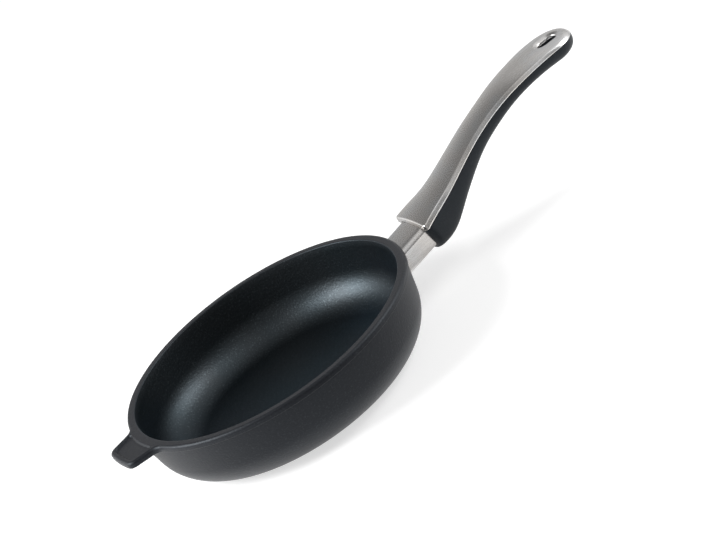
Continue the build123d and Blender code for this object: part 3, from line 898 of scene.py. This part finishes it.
def rod(loop, axes, near, far):
    """A section carried from one distance to another and closed at both ends."""
    point = loop * 0.0 + loop[:-1].mean(axis=0)
    rows = ((point, near), (loop, near), (loop, far), (point, far))
    return np.stack([carried(section, axes, distance) for section, distance in rows])


def grip_cutters(pan, neck, handle):
    """Shapes of the grip's holes: the neck's socket, the screw's bore and well, the studs' seats, bores and
    wells, and the hanging hole with its pocket."""
    lines = HandleLines(pan, handle)
    neck_axis = neck_axes(pan, neck)
    end = socket_end(neck, handle)
    cutters = [rod(neck_loop(neck, handle.socket_gap), neck_axis, end - handle.socket_reach, end)]
    cuts = [(neck_axis, end, *cut) for cut in SCREW_CUTS]
    cuts += [(stud_axes(lines, handle, number), 0.0, *cut) for number in STUD_STATIONS for cut in STUD_CUTS]
    for axes, start, diameter, points, near, far in cuts:
        cutters.append(rod(circle_loop(diameter * MM, points), axes, start + near * MM, start + far * MM))
    upright = (np.array([0.0, 0.0, lines.top]), *np.eye(3))
    pocket_end = -handle.collar_depth - handle.hole_gap
    cuts = ((handle.dish_width, pocket_end, handle.hole_overrun), (handle.hole_width, -handle.depth, 0.0))
    for width, near, far in cuts:
        half = slot_ring(lines, handle, np.linspace(0.0, 1.0, HOLE_POINTS), width / 2 + handle.hole_gap)
        cutters.append(rod(with_mirror(half), upright, near, far))
    return cutters


def cut_out(piece, cutters):
    """Takes closed shapes out of a piece, one after another."""
    for grid in cutters:
        cutter = make_piece("cutter", [grid])
        cut = piece.modifiers.new("Cut", "BOOLEAN")
        cut.operation = "DIFFERENCE"
        cut.solver = "MANIFOLD"
        cut.object = cutter
        graph = bpy.context.evaluated_depsgraph_get()
        mesh = bpy.data.meshes.new_from_object(piece.evaluated_get(graph))
        piece.modifiers.clear()
        piece.data = mesh
        bpy.data.objects.remove(cutter)
    smooth_mesh(piece.data, SOLID_EDGE)


def arithmetic(operation, turned=False):
    """A method that adds a Math node, with the other value first where it is turned."""

    def method(value, other):
        first, second = (other, value) if turned else (value, other)
        return value.finish.maths(operation, first, second)

    return method


class Value:
    """An output of a shader node. Arithmetic on it adds Math nodes."""

    __add__ = arithmetic("ADD")
    __radd__ = arithmetic("ADD", turned=True)
    __sub__ = arithmetic("SUBTRACT")
    __rsub__ = arithmetic("SUBTRACT", turned=True)
    __mul__ = arithmetic("MULTIPLY")
    __rmul__ = arithmetic("MULTIPLY", turned=True)

    def __init__(self, finish, socket):
        self.finish = finish
        self.socket = socket


class Finish:
    """A node material in the making, or the world's nodes."""

    def __init__(self, owner):
        owner.use_nodes = True
        self.owner = owner
        self.tree = owner.node_tree
        self.tree.nodes.clear()

    def node(self, kind, settings=None, inputs=None, output=0):
        """Adds a node. Its settings are set first, then its inputs get their links or values."""
        node = self.tree.nodes.new(kind)
        for name, value in (settings or {}).items():
            if name == "stops":
                ramp = node.color_ramp
                while len(ramp.elements) < len(value):
                    ramp.elements.new(0.5)
                for element, (place, level) in zip(ramp.elements, value):
                    element.position = place
                    element.color = (level, level, level, 1.0)
            else:
                setattr(node, name, value)
        for name, value in (inputs or {}).items():
            socket = node.inputs[name]
            if isinstance(value, Value):
                self.tree.links.new(value.socket, socket)
            elif socket.type == "RGBA":
                socket.default_value = (*value, 1.0)
            else:
                socket.default_value = value
        return Value(self, node.outputs[output]) if node.outputs else None

    def maths(self, operation, first, second, clamp=False):
        """A Math node."""
        settings = {"operation": operation, "use_clamp": clamp}
        return self.node("ShaderNodeMath", settings, {0: first, 1: second})

    def spot(self):
        """Place on the object in metres."""
        return self.node("ShaderNodeTexCoord", output="Object")

    def axis(self, spot, letter):
        """One coordinate of a place."""
        return self.node("ShaderNodeSeparateXYZ", None, {0: spot}, output=letter)

    def away(self, spot):
        """Distance of a place from the origin."""
        return self.node("ShaderNodeVectorMath", {"operation": "LENGTH"}, {0: spot}, output="Value")

    def noise(self, size, detail=2.0, roughness=0.5, stretch=(1.0, 1.0, 1.0)):
        """Cloudy pattern with patches of about the size in metres, longer where stretch is small."""
        place = self.node("ShaderNodeMapping", None, {"Vector": self.spot(), "Scale": stretch})
        inputs = {"Vector": place, "Scale": 1.0 / size, "Detail": detail, "Roughness": roughness}
        return self.node("ShaderNodeTexNoise", None, inputs)

    def ramp(self, value, stops):
        """Levels of grey that a value is turned into."""
        return self.node("ShaderNodeValToRGB", {"stops": stops}, {"Fac": value})

    def rising(self, value, low, high):
        """Nought below low, one above high and a straight climb between them."""
        return self.ramp(value, ((low, 0.0), (high, 1.0)))

    def blend(self, factor, first, second):
        """Colour between two colours."""
        return self.node("ShaderNodeMix", {"data_type": "RGBA"}, {0: factor, 6: first, 7: second}, output=2)

    def bump(self, height, depth, strength, below=None):
        """Fine relief: a height from nought to one, as deep as the depth in metres, over one below."""
        inputs = {"Height": height, "Distance": depth, "Strength": strength}
        if below:
            inputs["Normal"] = below
        return self.node("ShaderNodeBump", None, inputs)

    def varied(self, base, *swings):
        """A base value that patterns push up and down about itself, each by its own amount."""
        for pattern, amount in swings:
            base = base + (pattern - 0.5) * amount
        return base

    def surface(self, **inputs):
        """Ends the material in its surface shader."""
        named = {name.replace("_", " "): value for name, value in inputs.items()}
        shader = self.node("ShaderNodeBsdfPrincipled", None, named)
        self.node("ShaderNodeOutputMaterial", None, {"Surface": shader})
        return self.owner


def new_finish(name):
    """A new material to fill with nodes."""
    return Finish(bpy.data.materials.new(name))


def outer_face(finish, pan):
    """One on the bowl's outside and rim, nought inside, with a millimetre between them. The wall's middle
    has a radius for each height, and below the floor everything is outside."""
    spot = finish.spot()
    level = finish.node("ShaderNodeVectorMath", {"operation": "MULTIPLY"}, {0: spot, 1: (1.0, 1.0, 0.0)})
    middle = finish.ramp(finish.axis(spot, "Z") * (1.0 / pan.height), WALL_SHARES) * pan.rim_radius
    return finish.rising((finish.away(level) - middle) * (1.0 / MM) + 1.0, 0.0, 1.0)


def coating_finish(colours, pan):
    """Dark satin non-stick coating with a fine speckle, a warm drift and a shallow orange peel. Inside it
    mirrors like dark metal flake, outside it is a plain dark lacquer."""
    finish = new_finish("nonstick_coating")
    speckle = finish.noise(size=0.5 * MM, detail=3.0, roughness=0.6)
    peel = finish.noise(size=1.4 * MM)
    drift = finish.noise(size=60.0 * MM)
    outside = outer_face(finish, pan)
    warm = finish.blend(finish.rising(drift, 0.35, 0.7), colours.coating, colours.coating_warm)
    tint = finish.blend(outside, warm, colours.lacquer)
    flecks = finish.rising(finish.noise(size=1.1 * MM, detail=1.0), 0.58, 0.72)
    bright = finish.blend(outside, colours.coating_flecks, colours.lacquer_flecks)
    shallow = finish.bump(peel, depth=0.14 * MM, strength=0.8)
    return finish.surface(
        Base_Color=finish.blend(flecks * 0.35, tint, bright),
        Metallic=1.0 - outside,
        Roughness=finish.varied(0.42 + outside * 0.06, (speckle, 0.2), (drift, 0.1)),
        Specular_IOR_Level=0.45,
        Specular_Tint=colours.coating_gloss,
        Normal=finish.bump(speckle, depth=0.03 * MM, strength=0.6, below=shallow),
    )


def steel_finish(colours):
    """Satin stainless steel, finely brushed along X, with soft patches of wear."""
    finish = new_finish("satin_steel")
    grain = finish.noise(size=0.22 * MM, detail=3.0, roughness=0.6, stretch=(0.02, 1.0, 1.0))
    coarse = finish.noise(size=0.9 * MM, stretch=(0.03, 1.0, 1.0))
    smear = finish.noise(size=22.0 * MM)
    cool = finish.blend(finish.rising(smear, 0.4, 0.65), colours.steel, colours.steel_cool)
    scratches = finish.bump(coarse, depth=0.01 * MM, strength=0.25)
    return finish.surface(
        Base_Color=finish.blend(finish.rising(grain, 0.3, 0.7), colours.steel_dark, cool),
        Metallic=1.0,
        Roughness=finish.varied(0.27, (grain, 0.12), (smear, 0.08)),
        Normal=finish.bump(grain, depth=0.005 * MM, strength=0.4, below=scratches),
    )


def grip_finish(colours):
    """Moulded phenolic, matt black with a fine spark-eroded grain."""
    finish = new_finish("moulded_grip")
    grain = finish.noise(size=0.55 * MM, detail=3.0, roughness=0.65)
    cloud = finish.noise(size=14.0 * MM)
    return finish.surface(
        Base_Color=finish.blend(finish.rising(grain, 0.35, 0.75), colours.grip, colours.grip_pale),
        Roughness=finish.varied(0.55, (grain, 0.16), (cloud, 0.08)),
        Specular_IOR_Level=0.26,
        Specular_Tint=colours.grip_gloss,
        Normal=finish.bump(grain, depth=0.05 * MM, strength=0.45),
    )


def fastener_finish(colours):
    """Plain steel of the screws, nuts and washers, with faint tool marks."""
    finish = new_finish("fastener_steel")
    marks = finish.noise(size=0.3 * MM, stretch=(1.0, 0.2, 1.0))
    soil = finish.noise(size=3.0 * MM, detail=3.0)
    return finish.surface(
        Base_Color=finish.blend(finish.rising(soil, 0.45, 0.8), colours.fastener, colours.fastener_soil),
        Metallic=1.0,
        Roughness=finish.varied(0.32, (marks, 0.2)),
        Normal=finish.bump(marks, depth=0.01 * MM, strength=0.3),
    )


def dress(piece, material):
    """Gives a piece one material."""
    piece.data.materials.clear()
    piece.data.materials.append(material)


def finished(piece, material, node):
    """Gives a new piece its material and its body, and hides the node that it stands for."""
    dress(piece, material)
    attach(piece, "root")
    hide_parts(node)
    return {"FINISHED"}


def shapes(context):
    """Sizes of the pan, the neck and the handle."""
    scene = context.scene
    return scene.pan_shape, scene.neck_shape, scene.handle_shape


class PanOperator(bpy.types.Operator):
    """Cast the pan body: bowl, rim, helper tab and lug, under one dark coating."""

    bl_idname = "omelette_pan.casting"
    bl_label = "Pan body"

    def execute(self, context):
        pan, neck, handle = shapes(context)
        piece = make_piece("casting", [bowl_grid(pan), lug_grid(pan, neck, handle)])
        material = coating_finish(context.scene.finishes, pan)
        return finished(piece, material, "pan_body")


class NeckOperator(bpy.types.Operator):
    """Form the neck, the steel tube between the pan's wall and the grip."""

    bl_idname = "omelette_pan.neck"
    bl_label = "Neck"

    def execute(self, context):
        piece = make_piece("neck_tube", [neck_grid(*shapes(context))], SHEET_EDGE)
        return finished(piece, steel_finish(context.scene.finishes), "neck_sleeve")


class CoverOperator(bpy.types.Operator):
    """Press the handle's steel cover, with its flanks, front lip and dished hole."""

    bl_idname = "omelette_pan.cover"
    bl_label = "Steel cover"

    def execute(self, context):
        piece = make_piece("cover", cover_grids(*shapes(context)), SHEET_EDGE, closed=False)
        wall = piece.modifiers.new("Wall", "SOLIDIFY")
        wall.thickness = context.scene.handle_shape.sheet
        wall.offset = -1.0
        return finished(piece, steel_finish(context.scene.finishes), "top_shell")


class GripOperator(bpy.types.Operator):
    """Mould the grip under the cover, with its socket and wells."""

    bl_idname = "omelette_pan.grip"
    bl_label = "Grip"

    def execute(self, context):
        piece = make_piece("grip_moulding", grip_grids(*shapes(context)))
        cut_out(piece, grip_cutters(*shapes(context)))
        return finished(piece, grip_finish(context.scene.finishes), "grip")


class FastenerOperator(bpy.types.Operator):
    """Finish the screws, nuts, washers and studs that hold the handle together."""

    bl_idname = "omelette_pan.fasteners"
    bl_label = "Fasteners"

    def execute(self, context):
        material = fastener_finish(context.scene.finishes)
        for entry in frame["record"]["subparts"]:
            if entry["material_slot"] == "fastener_steel":
                dress(frame["nodes"][entry["node"]], material)
        return {"FINISHED"}


def background_rays(finish):
    """One for rays from the camera, and one for rays from a glossy or a clear surface."""
    camera = finish.node("ShaderNodeLightPath", output="Is Camera Ray")
    glossy = finish.node("ShaderNodeLightPath", output="Is Glossy Ray")
    clear = finish.node("ShaderNodeLightPath", output="Is Transmission Ray")
    return camera, finish.maths("ADD", glossy, clear, clamp=True)


def floor_finish(studio):
    """Pale floor that keeps the pan's shadow, is white for the camera, and glows in what mirrors it,
    brighter to both sides and round the foot."""
    finish = new_finish("pale_floor")
    pale = finish.blend(finish.noise(size=0.3, detail=3.0), studio.floor_colour, studio.floor_pale)
    camera_ray, mirror_ray = background_rays(finish)
    spot = finish.spot()
    away = finish.away(spot)
    side_glow = finish.ramp(finish.axis(spot, "X") * (1.0 / studio.side_reach) + 0.5, SIDE_GLOW_SHARES)
    foot_glow = finish.ramp(away * (1.0 / studio.foot_reach), FOOT_GLOW_SHARES)
    seen_glow = finish.ramp(away * (1.0 / studio.seen_reach), SEEN_GLOW_SHARES)
    glow = camera_ray * seen_glow + mirror_ray * finish.maths("MAXIMUM", side_glow, foot_glow)
    lit = finish.node("ShaderNodeBsdfDiffuse", None, {"Color": pale})
    shining = finish.node("ShaderNodeEmission", None, {"Color": glow, "Strength": 1.0})
    both = finish.node("ShaderNodeAddShader", None, {0: lit, 1: shining})
    finish.node("ShaderNodeOutputMaterial", None, {"Surface": both})
    return finish.owner


def room_light(world, fill):
    """Light from all round: white for the camera, an even fill for the pan, and for mirror rays a room
    whose brightness goes by the turn from the ground behind the pan overhead to the ground in front."""
    finish = Finish(world)
    camera_ray, mirror_ray = background_rays(finish)
    direction = finish.node("ShaderNodeTexCoord", output="Generated")
    aside = finish.axis(direction, "X") * 0.5 + 0.5
    height = finish.axis(direction, "Z")
    turn = finish.maths("ARCTAN2", height, finish.axis(direction, "Y")) * (1.0 / math.pi)
    room = finish.ramp(turn, ROOM_SHARES)
    for strength, aside_shares, turn_shares in ROOM_PATCHES:
        room = room + finish.ramp(aside, aside_shares) * finish.ramp(turn, turn_shares) * strength
    strength = camera_ray + mirror_ray * room + (1.0 - camera_ray - mirror_ray) * fill
    light = finish.node("ShaderNodeBackground", None, {"Color": (1.0, 1.0, 1.0), "Strength": strength})
    finish.node("ShaderNodeOutputWorld", None, {"Surface": light})


def lamp(name, place, power):
    """A square soft lamp that shines from a place towards the pan."""
    light = bpy.data.lights.new(name, "AREA")
    light.size = LAMP_SIZE
    light.energy = power
    holder = bpy.data.objects.new(name, light)
    holder.location = place
    holder.rotation_euler = (Vector(LAMP_AIM) - Vector(place)).to_track_quat("-Z", "Y").to_euler()
    bpy.context.scene.collection.objects.link(holder)


def place_camera(scene):
    """The picture's camera, looking square to its ways right and up."""
    lens = bpy.data.cameras.new("camera")
    lens.lens = FOCAL_LENGTH
    lens.sensor_width = SENSOR_WIDTH
    lens.clip_start = CLIP_START
    lens.clip_end = CLIP_END
    camera = bpy.data.objects.new("camera", lens)
    right = Vector(CAMERA_RIGHT).normalized()
    up = right.cross(Vector(CAMERA_AHEAD)).normalized()
    camera.matrix_world = Matrix((right, up, right.cross(up))).transposed().to_4x4()
    camera.location = CAMERA_PLACE
    scene.collection.objects.link(camera)
    scene.camera = camera


class StageOperator(bpy.types.Operator):
    """Set the floor, the soft lamps, the background and the camera."""

    bl_idname = "omelette_pan.stage"
    bl_label = "Studio"

    def execute(self, context):
        scene = context.scene
        studio = scene.studio
        ring = flat_ring(circle_loop(2 * studio.floor_radius, FLOOR_POINTS), -studio.floor_drop)
        ground = make_piece("floor", [np.stack([ring * part for part in FLOOR_SHARES])], closed=False)
        dress(ground, floor_finish(studio))
        scene.world = bpy.data.worlds.new("studio")
        room_light(scene.world, studio.fill)
        for name, place, power in LAMPS:
            lamp(name, place, power)
        place_camera(scene)
        scene.view_settings.view_transform = "Standard"
        return {"FINISHED"}


class PanPanel(bpy.types.Panel):
    """Sizes, finishes and steps of the omelette pan."""

    bl_idname = "VIEW3D_PT_omelette_pan"
    bl_label = "Omelette Pan"
    bl_space_type = "VIEW_3D"
    bl_region_type = "UI"
    bl_category = "Omelette Pan"

    def draw(self, context):
        for operator in OPERATORS:
            self.layout.operator(operator.bl_idname)
        for name in GROUPS:
            box = self.layout.box()
            box.label(text=name.replace("_", " ").capitalize())
            group = getattr(context.scene, name)
            for entry in group.bl_rna.properties:
                if entry.identifier not in ("rna_type", "name"):
                    box.prop(group, entry.identifier)


OPERATORS = (PanOperator, NeckOperator, GripOperator, CoverOperator, FastenerOperator, StageOperator)
GROUPS = {
    "pan_shape": PanShape,
    "neck_shape": NeckShape,
    "handle_shape": HandleShape,
    "finishes": Finishes,
    "studio": Studio,
}


def register():
    for group in GROUPS.values():
        bpy.utils.register_class(group)
    for name, group in GROUPS.items():
        setattr(bpy.types.Scene, name, PointerProperty(type=group))
    for operator in OPERATORS:
        bpy.utils.register_class(operator)
    bpy.utils.register_class(PanPanel)


def unregister():
    bpy.utils.unregister_class(PanPanel)
    for operator in reversed(OPERATORS):
        bpy.utils.unregister_class(operator)
    for name in GROUPS:
        delattr(bpy.types.Scene, name)
    for group in reversed(GROUPS.values()):
        bpy.utils.unregister_class(group)


def main():
    """Makes every piece and the studio."""
    register()
    bpy.ops.omelette_pan.casting()
    bpy.ops.omelette_pan.neck()
    bpy.ops.omelette_pan.grip()
    bpy.ops.omelette_pan.cover()
    bpy.ops.omelette_pan.fasteners()
    bpy.ops.omelette_pan.stage()


if __name__ == "__main__":
    main()
